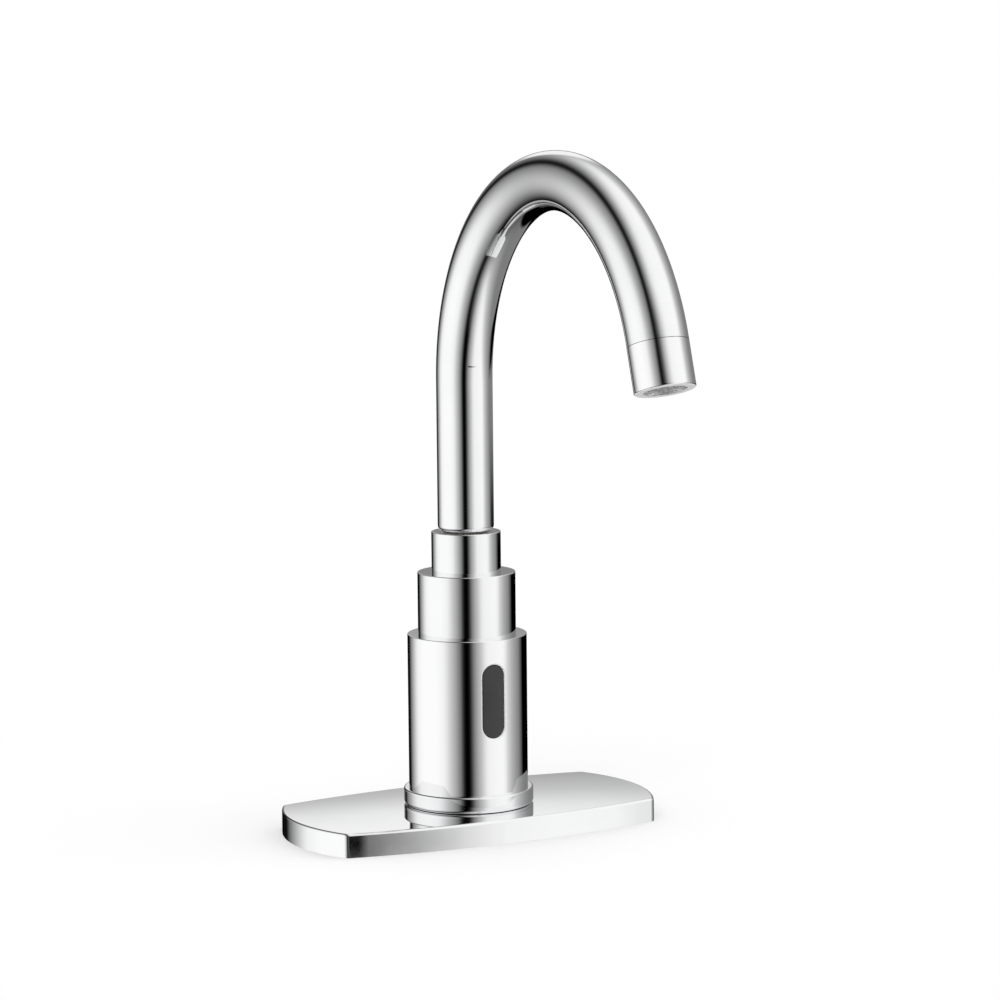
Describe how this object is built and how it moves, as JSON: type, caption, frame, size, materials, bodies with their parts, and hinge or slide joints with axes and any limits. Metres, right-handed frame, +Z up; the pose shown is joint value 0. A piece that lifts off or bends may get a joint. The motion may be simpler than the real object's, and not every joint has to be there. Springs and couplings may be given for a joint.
{
  "type": "sensor tap",
  "caption": "Deck-mounted sensor tap with a tall swan-neck swivel spout on a three-tier round body, a dark sensor slot, and a bowed oblong deck plate.",
  "frame": {"origin": "on the body's and shank's axis, at the top of the deck that the plate rests on", "axes": "+Z up along the body's axis, -Y to the front, the way the sensor and the spout face, +X to the right of someone who looks along +Y"},
  "size_m": [0.1596, 0.2189, 0.3577],
  "materials": {
    "chrome": "polished chrome plate",
    "brass": "machined",
    "steel": "zinc plated",
    "stainless": "bright",
    "rubber": "matt",
    "foam": "closed-cell, matt",
    "black_plastic": "moulded",
    "white_plastic": "moulded",
    "window": "dark, infrared-clear",
    "clear_eye": "clear resin",
    "board": "solder mask",
    "copper": "enamelled copper wire",
    "cell": "sleeved lithium cell",
    "insulation": "wire insulation"
  },
  "bodies": {
    "tap_body": {"deck_plate": "chrome", "plate_gasket": "foam", "base_ring": "chrome", "ring_seal": "rubber", "body_shell": "chrome", "middle_collar": "chrome", "upper_collar": "chrome", "spout_bush": "white_plastic", "stop_screw": "stainless", "mounting_shank": "brass", "manifold": "brass", "channel_plugs": "brass", "riser_tube": "brass", "spout_socket": "brass", "sensor_window": "window", "window_gasket": "rubber", "sensor_holder": "black_plastic", "sensor_board": "board", "board_screws": "stainless", "infrared_emitter": "clear_eye", "infrared_receiver": "black_plastic", "board_chips": "black_plastic", "piston_spring": "stainless", "solenoid_bonnet": "brass", "bonnet_screws": "stainless", "core_tube": "stainless", "fixed_pole": "steel", "plunger_spring": "stainless", "coil_bobbin": "black_plastic", "coil_winding": "copper", "latch_magnet": "steel", "coil_yoke": "steel", "coil_nut": "brass", "battery_cradle": "black_plastic", "battery_cell": "cell", "battery_lid": "black_plastic", "battery_contacts": "steel", "battery_lead": "insulation", "solenoid_lead": "insulation", "check_housing": "white_plastic", "check_spring": "stainless", "inlet_strainer": "stainless", "inlet_adaptor": "brass"},
    "servo_piston": {"servo_piston": "black_plastic", "piston_pad": "rubber"},
    "plunger": {"plunger": "stainless", "plunger_tip": "rubber"},
    "check_poppet": {"check_poppet": "white_plastic"},
    "clamp_washers": {"rubber_washer": "rubber", "steel_washer": "steel"},
    "mounting_nut": {"mounting_nut": "brass"},
    "spout": {"spout_tube": "chrome", "spout_spindle": "brass", "spindle_o_rings": "rubber", "spout_nipple": "brass"},
    "aerator_washer": {"aerator_washer": "rubber"},
    "aerator": {"aerator_housing": "chrome", "aerator_cartridge": "white_plastic", "aerator_screen": "stainless", "flow_regulator": "black_plastic"}
  },
  "joints": [
    {"name": "spout_swivel", "type": "hinge", "parent": "tap_body", "child": "spout", "pos_m": [0, 0, 0.125], "axis": [0, 0, 1], "range_deg": [-60, 60]},
    {"name": "plunger_travel", "type": "slide", "parent": "tap_body", "child": "plunger", "axis": [0, 0, 1], "range_m": [0, 0.001], "stiffness_N_per_m": 300, "springref_m": -0.0015, "deforming": ["plunger_spring"]},
    {"name": "piston_lift", "type": "slide", "parent": "tap_body", "child": "servo_piston", "axis": [0, 0, 1], "range_m": [0, 0.002], "stiffness_N_per_m": 100, "springref_m": -0.002, "deforming": ["piston_spring"]},
    {"name": "check_lift", "type": "slide", "parent": "tap_body", "child": "check_poppet", "axis": [0, 0, 1], "range_m": [0, 0.003], "stiffness_N_per_m": 60, "springref_m": -0.003, "deforming": ["check_spring"]},
    {"name": "clamp_travel", "type": "slide", "parent": "tap_body", "child": "clamp_washers", "axis": [0, 0, 1], "range_m": [-0.017, 0.017]},
    {"name": "nut_turn", "type": "hinge", "parent": "clamp_washers", "child": "mounting_nut", "pos_m": [0, 0, -0.029], "axis": [0, 0, 1], "range_deg": [-3050, 3050]},
    {"name": "aerator_travel", "type": "slide", "parent": "spout", "child": "aerator_washer", "axis": [0, -0.3007, -0.9537], "range_m": [0, 0.0047]},
    {"name": "aerator_turn", "type": "hinge", "parent": "aerator_washer", "child": "aerator", "pos_m": [0, -0.16246, 0.213], "axis": [0, -0.3007, -0.9537], "range_deg": [0, 1790]}
  ],
  "couplings": [
    {"joint": "piston_lift", "follows": "plunger_travel", "ratio": 2},
    {"joint": "clamp_travel", "follows": "nut_turn", "m_per_rad": 0.00031831},
    {"joint": "aerator_travel", "follows": "aerator_turn", "m_per_rad": 0.00014961}
  ]
}
